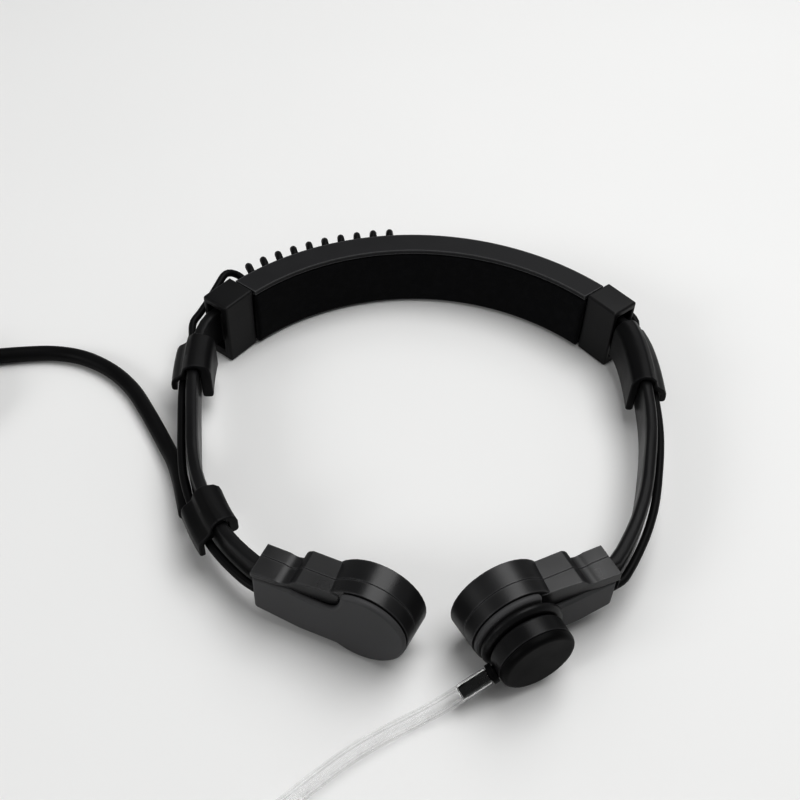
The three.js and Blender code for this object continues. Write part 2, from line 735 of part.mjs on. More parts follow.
const MAIN_ROUTE = [
  [-60.0, -28.4, 7.6],
  [-61.3, -24.6, 7.4],
  [-63.0, -19.5, 6.7],
  [-65.0, -14.1, 5.6],
  [-67.4, -8.4, 4.3],
  [-70.6, -2.6, 3.1],
  [-73.8, 3.0, 2.45],
  [-79.4, 12.0, 2.35],
  [-85.1, 20.1, 2.35],
  [-92.9, 27.3, 2.35],
  [-102.3, 32.1, 2.35],
  [-111.1, 33.5, 2.35],
  [-119.8, 32.7, 2.35],
  [-128.5, 31.2, 2.35],
  [-135.4, 30.2, 2.35],
];
const MAIN_COIL = { centre: [-158, 5], inner: 18, outer: 32, height: 9.2, slope: 1.5, tieTurn: 0 };
const PLUG_LINE = -187.5; // the plug lies along this X
const MAIN_TAIL = [
  [PLUG_LINE, -12.4, 6.5],
  [PLUG_LINE, -16, 5.8],
  [PLUG_LINE, -20, 4.9],
  [PLUG_LINE, -23.5, 4.6],
  [PLUG_LINE, -26.5, 4.6],
];
const PLUG_RADIUS = 4.5;

const TUBE_ROUTE = [
  [9.3, -74.3, 4.9],
  [6.7, -75.7, 3.85],
  [4.0, -77.1, 3.0],
  [0.5, -79.0, 2.4],
  [-3.2, -81.1, 2.15],
  [-8.0, -84.0, 2.15],
  [-14.0, -88.1, 2.15],
  [-20.3, -93.4, 2.15],
  [-26.8, -99.4, 2.15],
  [-33.4, -105.8, 2.15],
];
const TUBE_COIL = {
  centre: [-28.8, -132.5], inner: 16.3, outer: 24.8, height: 8.4, slope: 1.2, tieTurn: 90,
};
const EAR_TIP_RADIUS = 6.2;
const TUBE_TAIL = [[-9.6, -151, 6.3], [-7.1, -151, 6.3], [-4.6, -151, 6.3]];

// A strap over the coil's turns and down both sides of them.
function coilTie(coil) {
  const strap = box([-2, 2], [-coil.outer - 1.3, -coil.inner + 1.3], [0.1, coil.height + 1.2]);
  const room = box([-3, 3], [-coil.outer - GAP, -coil.inner + GAP], [-1, coil.height + GAP]);
  return cut(strap, room);
}

function coilRing({ inner, outer, height, slope }) {
  return upright([
    [inner, 0.1], [outer, 0.1], [outer, height - slope], [outer - slope / 2, height],
    [inner + slope / 2, height], [inner, height - slope], [inner, 0.1],
  ], 40);
}

function addCoil(name, coil, cordMaterial, tieMaterial) {
  const place = new THREE.Group();
  place.position.set(...coil.centre, 0);
  place.rotation.z = coil.tieTurn * RADIANS;
  headset.add(place);
  add(place, `${name}_coil`, coilRing(coil), cordMaterial);
  add(place, `${name}_tie`, coilTie(coil), tieMaterial);
}

function buildMainCord() {
  add(headset, "main_cord", cord(MAIN_ROUTE, MAIN_CORD, 2, 10), cordBlack);
  addCoil("main_cord", MAIN_COIL, cordBlack, matteBlack);
  add(headset, "main_cord_tail", cord(MAIN_TAIL, MAIN_CORD, 0.6, 10), cordBlack);
  const plug = new THREE.Group();
  plug.position.set(PLUG_LINE, MAIN_TAIL.at(-1)[1] - GAP, PLUG_RADIUS + 0.1);
  headset.add(plug);
  add(plug, "plug_strain_relief", spun([[0, 0], [2.8, 0], [3.3, 10], [0, 10]], -1, 20), matteBlack);
  add(plug, "plug_body", spun([
    [0, 10.3], [4.3, 10.3], [PLUG_RADIUS, 11], [PLUG_RADIUS, 25], [3.4, 27], [0, 27],
  ], -1, 24), matteBlack);
  add(plug, "plug_pin", spun([
    [0, 27.3], [1.75, 27.3], [1.75, 39], [1.2, 39.8], [1.7, 40.6], [0.6, 41.6], [0, 41.6],
  ], -1, 18), nickel);
}

// ---- acoustic tube: from the nozzle's sleeve to the table, coiled, with its ear tip ----

function buildAcousticTube() {
  add(headset, "acoustic_tube", cord(TUBE_ROUTE, TUBE, 2, 10), clearTube);
  addCoil("acoustic_tube", TUBE_COIL, clearTube, matteBlack);
  add(headset, "acoustic_tube_tail", cord(TUBE_TAIL, TUBE, 0.6, 10), clearTube);
  const tip = new THREE.Group();
  tip.position.set(TUBE_TAIL.at(-1)[0] + GAP, TUBE_TAIL.at(-1)[1], EAR_TIP_RADIUS + 0.1);
  tip.rotation.z = Math.PI / 2;
  headset.add(tip);
  const level = (profile, sides) => spun(profile, -1, sides);
  add(tip, "ear_tip_adapter", level([
    [0, 0], [2.6, 0], [2.6, 5], [1.6, 5.6], [1.6, 9], [0, 9],
  ], 20), clearTube);
  add(tip, "ear_tip", level([
    [0, 9.3], [2.4, 9.3], [EAR_TIP_RADIUS, 11.2], [5.6, 14], [4.2, 17.6], [2.4, 19.2], [0, 19.4],
  ], 28), softClear);
}

buildBand();
buildArms();
buildPod(LEFT, 0);
buildSpeaker(buildPod(RIGHT, 2.1));
buildLinkCord();
buildMainCord();
buildAcousticTube();

export default headset;
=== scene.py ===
"""Throat-microphone headset: cords at their real length, its cloth pad, moulded shells and every
finish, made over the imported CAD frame. Lengths are millimetres until at() turns them to metres."""

import json
import math

import bpy
from mathutils import Matrix, Vector


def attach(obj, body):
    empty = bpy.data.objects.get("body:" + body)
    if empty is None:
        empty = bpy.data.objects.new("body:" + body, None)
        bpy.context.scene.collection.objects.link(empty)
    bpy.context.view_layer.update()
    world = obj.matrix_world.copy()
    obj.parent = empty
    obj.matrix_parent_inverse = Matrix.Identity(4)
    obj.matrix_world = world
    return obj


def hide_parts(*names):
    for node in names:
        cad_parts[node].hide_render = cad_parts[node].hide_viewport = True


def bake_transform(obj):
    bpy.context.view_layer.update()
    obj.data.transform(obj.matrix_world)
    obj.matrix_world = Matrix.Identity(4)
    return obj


MM = 0.001
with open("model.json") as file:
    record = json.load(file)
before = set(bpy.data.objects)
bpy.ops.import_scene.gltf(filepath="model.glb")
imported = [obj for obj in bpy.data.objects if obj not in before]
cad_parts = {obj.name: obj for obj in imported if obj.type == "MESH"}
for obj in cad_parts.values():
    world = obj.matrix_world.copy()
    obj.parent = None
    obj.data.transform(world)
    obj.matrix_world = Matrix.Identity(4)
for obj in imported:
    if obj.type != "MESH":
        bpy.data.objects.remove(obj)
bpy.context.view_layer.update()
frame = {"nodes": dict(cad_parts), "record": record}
nodes = frame["nodes"]

# ---- places, measured from the band's arc centre as in the CAD source ----

BAND_CENTRE = (1.8, -4.08)
BLOCK_ANGLE = {"left": 143.9, "right": 41.2}
SIGN = {"left": -1, "right": 1}
POD_CENTRE = {"left": (-14.0, -63.4), "right": (22.9, -61.4)}
POD_TURN = {"left": -21.5, "right": 207.5}
POD_MIDDLE = 12.2
ARM_MIDDLE = 11.3
ARM_THICKNESS = 3.4
ARM_IN_POD = -4.6
LINK_CORD = 2.2
MAIN_CORD = 4.5
TUBE = 4.1
TUBE_BORE = 2.4
CORD_ROOM = 0.4  # between the arm and the cord beside it
BESIDE_ARM = ARM_THICKNESS / 2 + CORD_ROOM + LINK_CORD / 2
LINK_HEIGHT = 11.5
LEAD_HEIGHT = 10.6
IN_COLLAR = 99.5  # where the thin cords end, along the arm and inside the pod's collar
OVER_TABLE = 0.1  # so that a coiled cord doesn't touch the table
ARM_ROUTE = {
    "left": [
        (-61.2, 40.8), (-63.1, 38.6), (-65.1, 33.1), (-65.6, 26), (-64.9, 14),
        (-63.0, 1.2), (-59.15, -18.2), (-54.6, -29.2), (-48.4, -39.4),
    ],
    "right": [
        (56.4, 45.3), (58.3, 43.5), (60.5, 37.7), (61.65, 29), (61.95, 16),
        (61.35, 3), (59.25, -10.1), (56.1, -23.2), (51.6, -34.4),
    ],
}


def at(x, y, z):
    return Vector((x + BAND_CENTRE[0], y + BAND_CENTRE[1], z)) * MM


def metres(points):
    return [at(*p) for p in points]


def by_block(side, along, radius, z):
    angle = math.radians(BLOCK_ANGLE[side])
    sign = SIGN[side]
    return (
        radius * math.cos(angle) + along * sign * math.sin(angle),
        radius * math.sin(angle) - along * sign * math.cos(angle),
        z,
    )


def on_band(radius, degrees, z):
    angle = math.radians(degrees)
    return (radius * math.cos(angle), radius * math.sin(angle), z)


def pod_point(side, along, out, z=0.0):
    turn = math.radians(POD_TURN[side])
    tip = (math.cos(turn), math.sin(turn))
    outward = (-SIGN[side] * tip[1], SIGN[side] * tip[0])
    centre = POD_CENTRE[side]
    return (
        centre[0] + along * tip[0] + out * outward[0],
        centre[1] + along * tip[1] + out * outward[1],
        POD_MIDDLE + z,
    )


# ---- lines ----


def catmull_rom(points, per_span=24):
    """Points along a centripetal Catmull-Rom curve through the given ones."""
    given = [Vector(p) for p in points]
    ends = [given[0] * 2 - given[1], *given, given[-1] * 2 - given[-2]]
    line = [given[0]]
    for i in range(1, len(ends) - 2):
        p = ends[i - 1 : i + 3]
        t = [0.0]
        for a, b in zip(p, p[1:]):
            t.append(t[-1] + math.sqrt((b - a).length))
        for step in range(1, per_span + 1):
            u = t[1] + (t[2] - t[1]) * step / per_span
            a = [
                p[k] * ((t[k + 1] - u) / (t[k + 1] - t[k]))
                + p[k + 1] * ((u - t[k]) / (t[k + 1] - t[k]))
                for k in range(3)
            ]
            b = [
                a[k] * ((t[k + 2] - u) / (t[k + 2] - t[k]))
                + a[k + 1] * ((u - t[k]) / (t[k + 2] - t[k]))
                for k in range(2)
            ]
            line.append(b[0] * ((t[2] - u) / (t[2] - t[1])) + b[1] * ((u - t[1]) / (t[2] - t[1])))
    return line


def line_length(line):
    return sum((b - a).length for a, b in zip(line, line[1:]))


def resample(line, spacing):
    """The same line with points an even distance apart."""
    total = line_length(line)
    count = max(2, round(total / spacing))
    out = [line[0].copy()]
    walked, i = 0.0, 0
    for k in range(1, count):
        target = total * k / count
        while walked + (line[i + 1] - line[i]).length < target:
            walked += (line[i + 1] - line[i]).length
            i += 1
        share = (target - walked) / (line[i + 1] - line[i]).length
        out.append(line[i].lerp(line[i + 1], share))
    return [*out, line[-1].copy()]


def arm_line(side):
    in_pod = [pod_point(side, along, ARM_IN_POD)[:2] for along in (-28, -25, -22)]
    route = [(x, y, ARM_MIDDLE) for x, y in [*ARM_ROUTE[side], *in_pod]]
    return resample(catmull_rom(route), 0.5)


ARM_LINE = {side: arm_line(side) for side in ("left", "right")}


def beside_arm(side, start, end, offset, z, spacing=3.0):
    """Points beside an arm's outer face, between two distances along its middle line."""
    line = ARM_LINE[side]
    step = line_length(line) / (len(line) - 1)
    count = max(2, round(abs(end - start) / spacing) + 1)
    points = []
    for k in range(count):
        i = round((start + (end - start) * k / (count - 1)) / step)
        i = min(max(i, 1), len(line) - 2)
        ahead = (line[i + 1] - line[i - 1]).normalized()
        outward = Vector((-SIGN[side] * ahead.y, SIGN[side] * ahead.x, 0))
        point = line[i] + outward * offset
        points.append((point.x, point.y, z))
    return points


# ---- camera ----

CAMERA_PLACE = (-6.93, -191.97, 222.23)
CAMERA_PITCH = math.radians(46.015)
CAMERA_ROLL = math.radians(2.472)
CAMERA_LENS = 47.16


def make_camera():
    data = bpy.data.cameras.new("camera")
    data.lens = CAMERA_LENS
    data.clip_start = 0.01
    camera = bpy.data.objects.new("camera", data)
    bpy.context.scene.collection.objects.link(camera)
    sin_pitch, cos_pitch = math.sin(CAMERA_PITCH), math.cos(CAMERA_PITCH)
    sin_roll, cos_roll = math.sin(CAMERA_ROLL), math.cos(CAMERA_ROLL)
    right = Vector((cos_roll, sin_roll * sin_pitch, sin_roll * cos_pitch))
    up = Vector((-sin_roll, cos_roll * sin_pitch, cos_roll * cos_pitch))
    back = Vector((0, -cos_pitch, sin_pitch))
    turn = Matrix((right, up, back)).transposed().to_4x4()
    camera.matrix_world = Matrix.Translation(at(*CAMERA_PLACE)) @ turn
    bpy.context.scene.camera = camera


make_camera()


# ---- making pieces ----


def new_piece(name, vertices, faces, material):
    mesh = bpy.data.meshes.new(name)
    mesh.from_pydata([tuple(v) for v in vertices], [], faces)
    mesh.polygons.foreach_set("use_smooth", [True] * len(mesh.polygons))
    mesh.materials.append(material)
    mesh.update()
    piece = bpy.data.objects.new(name, mesh)
    bpy.context.scene.collection.objects.link(piece)
    return piece


def frames_along(line):
    """(point, side, up) at each point of a line, with no twist from one to the next."""
    out = []
    up = Vector((0, 0, 1))
    for i, point in enumerate(line):
        ahead = (line[min(i + 1, len(line) - 1)] - line[max(i - 1, 0)]).normalized()
        side = ahead.cross(up).normalized()
        up = side.cross(ahead).normalized()
        out.append((point, side, up))
    return out


def sweep(name, line, section, material):
    """A closed section of (side, up) pairs in metres, swept along a line, with flat ends."""
    count = len(section)
    vertices, faces = [], []
    for point, side, up in frames_along(line):
        vertices += [point + side * a + up * b for a, b in section]
    for i in range(len(line) - 1):
        for k in range(count):
            a, b = i * count + k, i * count + (k + 1) % count
            faces.append((a, b, b + count, a + count))
    faces.append(tuple(range(count))[::-1])
    faces.append(tuple(range((len(line) - 1) * count, len(line) * count)))
    return new_piece(name, vertices, faces, material)


def ring_section(radius, sides):
    turn = 2 * math.pi / sides
    return [(-radius * math.cos(k * turn), radius * math.sin(k * turn)) for k in range(sides)]


def hollow_cord(name, line, diameter, bore, material, spacing=1.4, sides=20):
    """A tube with a wall. Returns the piece and its middle line, in metres."""
    path = metres(resample(line, spacing))
    frames = frames_along(path)
    rings = [ring_section(diameter / 2 * MM, sides), ring_section(bore / 2 * MM, sides)]
    vertices, faces = [], []
    for ring in rings:
        for point, side, up in frames:
            vertices += [point + side * a + up * b for a, b in ring]
    wall = len(path) * sides
    for i in range(len(path) - 1):
        for k in range(sides):
            a, b = i * sides + k, i * sides + (k + 1) % sides
            faces.append((a, b, b + sides, a + sides))
            faces.append((wall + a + sides, wall + b + sides, wall + b, wall + a))
    last = (len(path) - 1) * sides
    for k in range(sides):
        b = (k + 1) % sides
        faces.append((b, k, wall + k, wall + b))
        faces.append((last + k, last + b, wall + last + b, wall + last + k))
    return new_piece(name, vertices, faces, material), path


def round_cord(name, line, diameter, material, spacing=1.2, sides=14):
    """A round cord along points in millimetres. Returns the piece and its middle line, in metres."""
    path = metres(resample(line, spacing))
    return sweep(name, path, ring_section(diameter / 2 * MM, sides), material), path


# ---- finishes ----


NOISE_LOW, NOISE_HIGH = 0.3, 0.7  # most of a noise texture's values lie between these
# Lighter colour along sharp edges, partly wear and partly a painted highlight: the radius that finds the
# edges, the turn at which an edge is fully lightened, and the lighter colour's share there.
WEAR_AND_HIGHLIGHT_RADIUS = 0.8
WEAR_AND_HIGHLIGHT_TURN = 0.8  # the cosine of the turn at which an edge is fully worn and carries its full painted highlight
WEAR_AND_HIGHLIGHT_SHARE = 0.85
EDGE_RADIUS = 0.35


class Finish:
    """A material being made: its nodes and a few short ways to add and join them."""

    def __init__(self, name, color, roughness, **sockets):
        self.material = bpy.data.materials.new(name)
        self.material.use_nodes = True
        self.tree = self.material.node_tree
        self.shader = self.tree.nodes["Principled BSDF"]
        self.shader.inputs["Base Color"].default_value = (*color, 1)
        self.shader.inputs["Roughness"].default_value = roughness
        for socket, value in sockets.items():
            self.shader.inputs[socket.replace("_", " ")].default_value = value
        self.place = self.node("ShaderNodeTexCoord").outputs["Object"]

    def node(self, kind, **values):
        node = self.tree.nodes.new(kind)
        for name, value in values.items():
            setattr(node, name, value)
        return node

    def join(self, output, node, socket):
        self.tree.links.new(output, node.inputs[socket])

    def noise(self, per_metre, detail, stretch=None):
        node = self.node("ShaderNodeTexNoise")
        node.inputs["Scale"].default_value = per_metre
        node.inputs["Detail"].default_value = detail
        place = self.place
        if stretch:
            mapping = self.node("ShaderNodeMapping")
            mapping.inputs["Scale"].default_value = stretch
            self.join(place, mapping, "Vector")
            place = mapping.outputs["Vector"]
        self.join(place, node, "Vector")
        return node.outputs["Fac"]

    def remap(self, value, from_low, from_high, to_low, to_high):
        node = self.node("ShaderNodeMapRange")
        limits = ("From Min", "From Max", "To Min", "To Max")
        for socket, limit in zip(limits, (from_low, from_high, to_low, to_high)):
            node.inputs[socket].default_value = limit
        self.join(value, node, "Value")
        return node.outputs["Result"]

    def mix(self, share, first, second):
        """A colour between two others. Each is a colour or another node's output."""
        node = self.node("ShaderNodeMix", data_type="RGBA")
        self.join(share, node, "Factor")
        for socket, color in ((6, first), (7, second)):
            if isinstance(color, tuple):
                node.inputs[socket].default_value = (*color, 1)
            else:
                self.tree.links.new(color, node.inputs[socket])
        return node.outputs[2]

    def spread(self, noise, low=0.0, high=1.0):
        """A noise value stretched over the whole of a range."""
        return self.remap(noise, NOISE_LOW, NOISE_HIGH, low, high)

    def color(self, output):
        self.join(output, self.shader, "Base Color")

    def rough(self, noise, low, high):
        self.join(self.spread(noise, low, high), self.shader, "Roughness")

    def bump(self, height, depth, strength, edge=0.0):
        node = self.node("ShaderNodeBump")
        node.inputs["Strength"].default_value = strength
        node.inputs["Distance"].default_value = depth * MM
        self.join(height, node, "Height")
        if edge:
            self.join(self.rounded(edge), node, "Normal")
        self.join(node.outputs["Normal"], self.shader, "Normal")

    def rounded(self, radius):
        node = self.node("ShaderNodeBevel", samples=4)
        node.inputs["Radius"].default_value = radius * MM
        return node.outputs["Normal"]

    def edge_wear_and_highlight(self):
        """The lighter edge colour's full share along sharp edges, and 0 elsewhere: partly wear, partly a
        painted highlight.
        """
        dot = self.node("ShaderNodeVectorMath", operation="DOT_PRODUCT")
        self.tree.links.new(self.rounded(WEAR_AND_HIGHLIGHT_RADIUS), dot.inputs[0])
        plain = self.node("ShaderNodeNewGeometry")
        self.tree.links.new(plain.outputs["Normal"], dot.inputs[1])
        return self.remap(dot.outputs["Value"], 1.0, WEAR_AND_HIGHLIGHT_TURN, 0.0, WEAR_AND_HIGHLIGHT_SHARE)


def shade(color, share):
    return tuple(c * share for c in color)


def moulded(name, color, roughness, wear_and_highlight, gloss, grain=0.02):
    """Moulded plastic with a fine grain, uneven gloss, and lighter edges: partly where handling has
    polished them, partly a painted highlight.
    """
    finish = Finish(name, color, roughness, Specular_IOR_Level=gloss)
    fine = finish.noise(2600, 4)
    broad = finish.noise(90, 3)
    tint = finish.mix(finish.spread(broad), shade(color, 0.82), color)
    # lighter colour along sharp edges: partly wear, partly a painted highlight
    finish.color(finish.mix(finish.edge_wear_and_highlight(), tint, wear_and_highlight))
    finish.rough(broad, roughness - 0.06, roughness + 0.08)
    finish.bump(fine, grain, 0.6, edge=EDGE_RADIUS)
    return finish.material


def cord_skin(name, color, roughness):
    """Extruded cord jacket: satin, with faint marks along it."""
    finish = Finish(name, color, roughness, Specular_IOR_Level=0.12)
    fine = finish.noise(1500, 3)
    broad = finish.noise(130, 2)
    finish.color(finish.mix(finish.spread(broad), shade(color, 0.75), color))
    finish.rough(broad, roughness - 0.05, roughness + 0.1)
    finish.bump(fine, 0.02, 0.5)
    return finish.material


def knit_cloth():
    """Close black knit over the pad's foam: fine ribs, and lint that catches the light."""
    finish = Finish("pad_knit", (0.006, 0.006, 0.0065), 0.95, Sheen_Weight=0.03, Specular_IOR_Level=0.05)
    knit = finish.node("ShaderNodeTexVoronoi")
    knit.inputs["Scale"].default_value = 1500
    finish.join(finish.place, knit, "Vector")
    lint = finish.noise(420, 4)
    finish.color(finish.mix(
        finish.remap(lint, 0.45, 0.8, 0, 1), (0.0065, 0.0066, 0.0072), (0.01, 0.01, 0.011),
    ))
    finish.bump(knit.outputs["Distance"], 0.12, 0.7)
    return finish.material


def woven_strap():
    finish = Finish("strap_weave", (0.012, 0.012, 0.013), 0.85, Sheen_Weight=0.2)
    weave = finish.node("ShaderNodeTexWave", wave_type="BANDS", bands_direction="DIAGONAL")
    weave.inputs["Scale"].default_value = 900
    finish.join(finish.place, weave, "Vector")
    finish.color(finish.mix(weave.outputs["Fac"], (0.008, 0.008, 0.009), (0.02, 0.02, 0.021)))
    finish.bump(weave.outputs["Fac"], 0.1, 0.8)
    return finish.material


def clear_plastic(name, color, roughness, alpha):
    """Clear flexible tubing, faintly clouded inside."""
    finish = Finish(name, color, roughness, IOR=1.42, Transmission_Weight=1.0, Alpha=alpha)
    cloud = finish.noise(160, 3)
    finish.color(finish.mix(finish.spread(cloud), color, shade(color, 0.97)))
    finish.rough(cloud, roughness, roughness + 0.05)
    finish.bump(finish.noise(700, 2), 0.01, 0.2)
    return finish.material


def metal(name, color, roughness):
    finish = Finish(name, color, roughness, Metallic=1.0)
    turned = finish.noise(900, 3, stretch=(1, 1, 6))
    finish.color(finish.mix(turned, shade(color, 0.85), color))
    finish.rough(turned, roughness - 0.05, roughness + 0.1)
    finish.bump(turned, 0.01, 0.4)
    return finish.material


# The fourth value is the lighter edge colour: partly wear, partly a painted highlight.
SATIN = moulded("satin_black_plastic", (0.009, 0.009, 0.0096), 0.34, (0.04, 0.04, 0.042), 0.2)
BAND_PLASTIC = moulded("band_plastic", (0.024, 0.024, 0.0255), 0.45, (0.15, 0.15, 0.153), 0.15, 0.03)
MATTE = moulded("matte_black_plastic", (0.0035, 0.0035, 0.0037), 0.42, (0.015, 0.015, 0.0155), 0.06)
GREY = moulded("satin_grey_plastic", (0.006, 0.006, 0.0065), 0.38, (0.03, 0.03, 0.032), 0.15)
POD_PLASTIC = moulded("pod_plastic", (0.012, 0.012, 0.0127), 0.33, (0.06, 0.06, 0.062), 0.42)
COVER_PLASTIC = moulded("cover_plastic", (0.075, 0.075, 0.077), 0.5, (0.13, 0.13, 0.132), 0.2)
CORD = cord_skin("cord_jacket", (0.006, 0.006, 0.0065), 0.4)
PAD = knit_cloth()
STRAP = woven_strap()
CLEAR = clear_plastic("clear_tubing", (1.0, 1.0, 1.0), 0.03, 0.24)
CLEAR_SLEEVE = clear_plastic("clear_sleeve", (0.99, 1.0, 0.99), 0.03, 1.0)
SOFT_CLEAR = clear_plastic("soft_clear_rubber", (0.93, 0.91, 0.86), 0.35, 0.9)
STEEL = metal("steel", (0.5, 0.5, 0.51), 0.35)
NICKEL = metal("nickel", (0.75, 0.73, 0.69), 0.2)

SLOT_FINISH = {
    "satin_black_plastic": SATIN,
    "matte_black_plastic": MATTE,
    "satin_grey_plastic": GREY,
    "pad_cloth": PAD,
    "strap_cloth": STRAP,
    "cord_rubber": CORD,
    "clear_tube": CLEAR,
    "soft_clear_rubber": SOFT_CLEAR,
    "steel": STEEL,
    "nickel": NICKEL,
}


# ---- main cord: from the lower clip to the table, coiled, and its plug ----

MAIN_ROUTE = [
    (-60.0, -28.4, 7.6), (-61.3, -24.6, 7.4), (-63.0, -19.5, 6.7), (-65.0, -14.1, 5.6),
    (-67.4, -8.4, 4.3), (-70.6, -2.6, 3.1), (-73.8, 3.0, 2.45), (-79.4, 12.0, 2.35),
    (-85.1, 20.1, 2.35), (-92.9, 27.3, 2.35), (-102.3, 32.1, 2.35), (-111.1, 33.5, 2.35),
    (-119.8, 32.7, 2.35), (-128.5, 31.2, 2.35), (-135.4, 30.2, 2.35), (-146.0, 31.6, 2.35),
]
MAIN_COIL_CENTRE = (-158, 5)
MAIN_COIL_RADIUS = 29.5
PLUG_LINE = -187.5
MAIN_TAIL = [
    (PLUG_LINE, -3, 6.85), (PLUG_LINE, -12.4, 6.5), (PLUG_LINE, -16, 5.8), (PLUG_LINE, -20, 4.9),
    (PLUG_LINE, -23.5, 4.6), (PLUG_LINE, -26.5, 4.6),
]


def eased(value, start, end):
    """0 before start, 1 after end, and smooth between."""
    share = min(max((value - start) / (end - start), 0), 1)
    return share * share * (3 - 2 * share)


def coil_turns(centre, start, end, radius_at, height_at, step=12):
    """Points round a coil, counter-clockwise, between two running angles in degrees."""
    points = []
    count = round((end - start) / step)
    for k in range(count + 1):
        angle = start + (end - start) * k / count
        radius = radius_at(angle)
        turn = math.radians(angle)
        points.append((
            centre[0] + radius * math.cos(turn), centre[1] + radius * math.sin(turn), height_at(angle),
        ))
    return points


def steps_sum(angle, steps):
    """The sum of steps, each (from angle, to angle, amount)."""
    return sum(amount * eased(angle, start, end) for start, end, amount in steps)


def make_main_cord():
    inward = [(360 * k + 60, 360 * k + 90, -MAIN_CORD) for k in (1, 2)]
    outward = [(360 * k - 22, 360 * k + 18, MAIN_CORD) for k in (4, 5)]
    radius_steps = [*inward, *outward]
    climb = [(360 * 3 + 18, 360 * 3 + 72, MAIN_CORD)]
    turns = coil_turns(
        MAIN_COIL_CENTRE, 96, 360 * 5 + 176,
        lambda angle: MAIN_COIL_RADIUS + steps_sum(angle, radius_steps),
        lambda angle: MAIN_CORD / 2 + OVER_TABLE + steps_sum(angle, climb),
    )
    line = catmull_rom([*MAIN_ROUTE, *turns, *MAIN_TAIL], 8)
    piece, path = round_cord("main_cable", line, MAIN_CORD, CORD, 1.6, 16)
    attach(piece, "left_arm")
    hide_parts("main_cord", "main_cord_coil", "main_cord_tail")


make_main_cord()


# ---- acoustic tube: from the nozzle's sleeve to the table, coiled, and its ear tip ----

TUBE_ROUTE = [
    (9.65, -74.15, 5.05), (9.3, -74.3, 4.9), (6.7, -75.7, 3.85), (4.0, -77.1, 3.0),
    (0.5, -79.0, 2.4), (-3.2, -81.1, 2.15), (-8.0, -84.0, 2.15), (-14.0, -88.1, 2.15),
    (-20.3, -93.4, 2.15), (-26.8, -99.4, 2.15), (-33.4, -105.8, 2.15), (-39.6, -111.0, 2.15),
]
TUBE_COIL_CENTRE = (-28.8, -132.5)
TUBE_COIL_RADIUS = 22.6
TUBE_TAIL = [(-20, -151, 6.3), (-14, -151, 6.3), (-9.6, -151, 6.3), (-4.6, -151, 6.3)]


def make_acoustic_tube():
    radius_steps = [(360 + 80, 360 + 140, -TUBE)]
    climb = [(720 + 60, 720 + 128, TUBE + 0.05)]
    turns = coil_turns(
        TUBE_COIL_CENTRE, 146, 720 + 266,
        lambda angle: TUBE_COIL_RADIUS + steps_sum(angle, radius_steps),
        lambda angle: TUBE / 2 + OVER_TABLE + steps_sum(angle, climb),
    )
    line = catmull_rom([*TUBE_ROUTE, *turns, *TUBE_TAIL], 8)
    piece, path = hollow_cord("clear_acoustic_tube", line, TUBE, TUBE_BORE, CLEAR)
    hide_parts("acoustic_tube", "acoustic_tube_coil", "acoustic_tube_tail")
    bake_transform(piece)


make_acoustic_tube()


# ---- link cord: clipped beside the arms, with its curly stretch behind the band ----

COIL_AXIS_RADIUS = 81.1
COIL_HEIGHT = 13.2
COIL_WINDING = 3.4
COIL_FROM, COIL_TO = 133.4, 97.0
COIL_TURNS = 9.9
COIL_PHASE = -20  # degrees, where the first turn starts
COIL_OUTSIDE = math.radians(135)  # the outer top of each turn, where its lean shows most
LEAN_AT_BLOCK = 0.6
LEAN_CHANGE = -1.1  # from the block to the coil's other end
CURL_POINTS = 240


def coil_point(share):
    turn = math.radians(COIL_PHASE + 360 * COIL_TURNS * share)
    radius = COIL_AXIS_RADIUS - COIL_WINDING * math.cos(turn)
    height = COIL_HEIGHT + COIL_WINDING * math.sin(turn)
    # The turns lie over towards the block at its end, and stand squarer to the band further on.
    lean = LEAN_AT_BLOCK + LEAN_CHANGE * share
    along = share + lean * math.sin(turn - COIL_OUTSIDE) / (2 * math.pi * COIL_TURNS)
    return on_band(radius, COIL_FROM + (COIL_TO - COIL_FROM) * along, height)


def make_link_curl():
    winding = [coil_point(k / CURL_POINTS) for k in range(CURL_POINTS + 1)]
    curly, _ = round_cord("link_cord_curl", catmull_rom(winding, 2), LINK_CORD, CORD, 0.8, 12)
    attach(curly, "band")
    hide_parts("link_cord_coil")


def make_link_left():
    left = [
        *beside_arm("left", 74, 10.5, BESIDE_ARM, LINK_HEIGHT),
        by_block("left", 9.2, 79.1, 12.1),
        by_block("left", 5.6, 79.7, 13.1),
        by_block("left", 1.5, 80.4, 14.4),
        by_block("left", -4, 81.6, 16.4),
        on_band(83.4, 137.6, 17.2),
        on_band(82.9, 135.3, 15.4),
        coil_point(0),
    ]
    piece, _ = round_cord("link_cord_left_run", catmull_rom(left), LINK_CORD, CORD)
    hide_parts("link_cord_left", "link_cord_loop")
    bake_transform(piece)


def make_link_right():
    right = [
        coil_point(1),
        on_band(80.2, 94.6, 13.2),
        on_band(78.4, 91.5, 14.2),
        *[on_band(77.4, degrees, 14.5) for degrees in (88, 81, 74, 67, 60, 56)],
        on_band(77.9, 51.5, 15),
        by_block("right", -7, 78.9, 15.2),
        by_block("right", -3, 79.3, 15.2),
        by_block("right", 2, 79.3, 13.6),
        by_block("right", 5.5, 79.3, 12.4),
        *beside_arm("right", 5.6, IN_COLLAR, BESIDE_ARM, LINK_HEIGHT),
    ]
    piece, _ = round_cord("link_cord_right_run", catmull_rom(right), LINK_CORD, CORD)
    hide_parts("link_cord_rear", "link_cord_right")
    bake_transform(piece)


make_link_curl()
make_link_left()
make_link_right()


def make_mic_lead():
    """The left pod's own cord, below the link cord, from the lower clip into the pod."""
    line = catmull_rom(beside_arm("left", 76, IN_COLLAR, BESIDE_ARM, LEAD_HEIGHT))
    piece, _ = round_cord("left_pod_lead", line, LINK_CORD, CORD)
    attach(piece, "left_arm")
    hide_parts("left_mic_lead")


